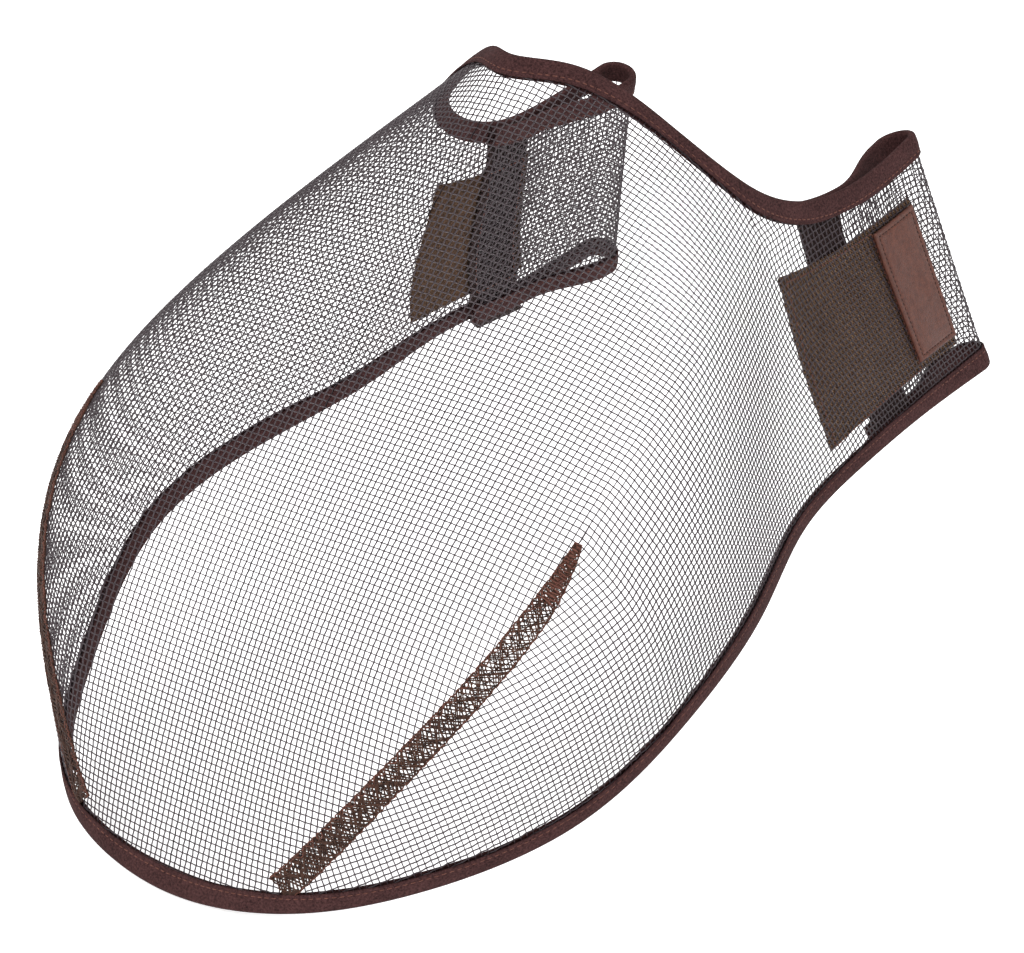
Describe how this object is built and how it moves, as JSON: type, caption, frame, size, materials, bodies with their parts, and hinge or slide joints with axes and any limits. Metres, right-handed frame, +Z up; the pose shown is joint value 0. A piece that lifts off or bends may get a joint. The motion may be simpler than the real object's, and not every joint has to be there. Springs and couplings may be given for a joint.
{
  "type": "fly mask",
  "caption": "Earless mesh fly mask for a ridden horse, with eye darts and folding hook-and-loop bands that close round the bridle cheekpieces.",
  "frame": {"origin": "inside the head opening on the mirror plane, the middle of the horse's head a little below the ear notches, where the mask is held as it is worn", "axes": "+X towards the horse's left, -Y the way the horse faces, +Z up; the mask hangs as worn, nose edge low and forward"},
  "size_m": [0.3064, 0.4185, 0.2961],
  "materials": {
    "net": "open square net of dark brown coated yarn",
    "binding": "soft matt chocolate brown binding tape",
    "thread": "lighter reddish brown sewing thread",
    "loop_pile": "matt brown loop pile",
    "hook_tape": "dark brown hook tape",
    "leather": "semi-matt reddish brown leather",
    "label_thread": "dark brown thread"
  },
  "bodies": {
    "mask": {"net_body": "net", "brow_binding": "binding", "nose_binding": "binding", "brow_binding_stitch": "thread", "nose_binding_stitch": "thread", "left_eye_dart": "net", "right_eye_dart": "net", "left_dart_stitch": "thread", "right_dart_stitch": "thread", "left_loop_patch": "loop_pile", "right_loop_patch": "loop_pile", "left_patch_stitch": "thread", "right_patch_stitch": "thread", "leather_label": "leather", "label_stitch": "label_thread", "left_fold_net": "net", "left_fold_top_binding": "binding", "left_fold_bottom_binding": "binding", "left_fold_top_stitch": "thread", "left_fold_bottom_stitch": "thread", "right_fold_net": "net", "right_fold_top_binding": "binding", "right_fold_bottom_binding": "binding", "right_fold_top_stitch": "thread", "right_fold_bottom_stitch": "thread"},
    "left_flap": {"left_flap_net": "net", "left_flap_top_binding": "binding", "left_flap_bottom_binding": "binding", "left_flap_top_stitch": "thread", "left_flap_bottom_stitch": "thread", "left_hook_strip": "hook_tape", "left_hook_stitch": "thread"},
    "right_flap": {"right_flap_net": "net", "right_flap_top_binding": "binding", "right_flap_bottom_binding": "binding", "right_flap_top_stitch": "thread", "right_flap_bottom_stitch": "thread", "right_hook_strip": "hook_tape", "right_hook_stitch": "thread"}
  },
  "joints": [
    {"name": "left_flap_fold", "type": "hinge", "parent": "mask", "child": "left_flap", "pos_m": [0.0915, 0.172, 0.0805], "axis": [0.265, 0.22, -0.9388], "range_deg": [0, 55]},
    {"name": "right_flap_fold", "type": "hinge", "parent": "mask", "child": "right_flap", "pos_m": [-0.0915, 0.172, 0.0805], "axis": [0.265, -0.22, 0.9388], "range_deg": [0, 55]}
  ]
}
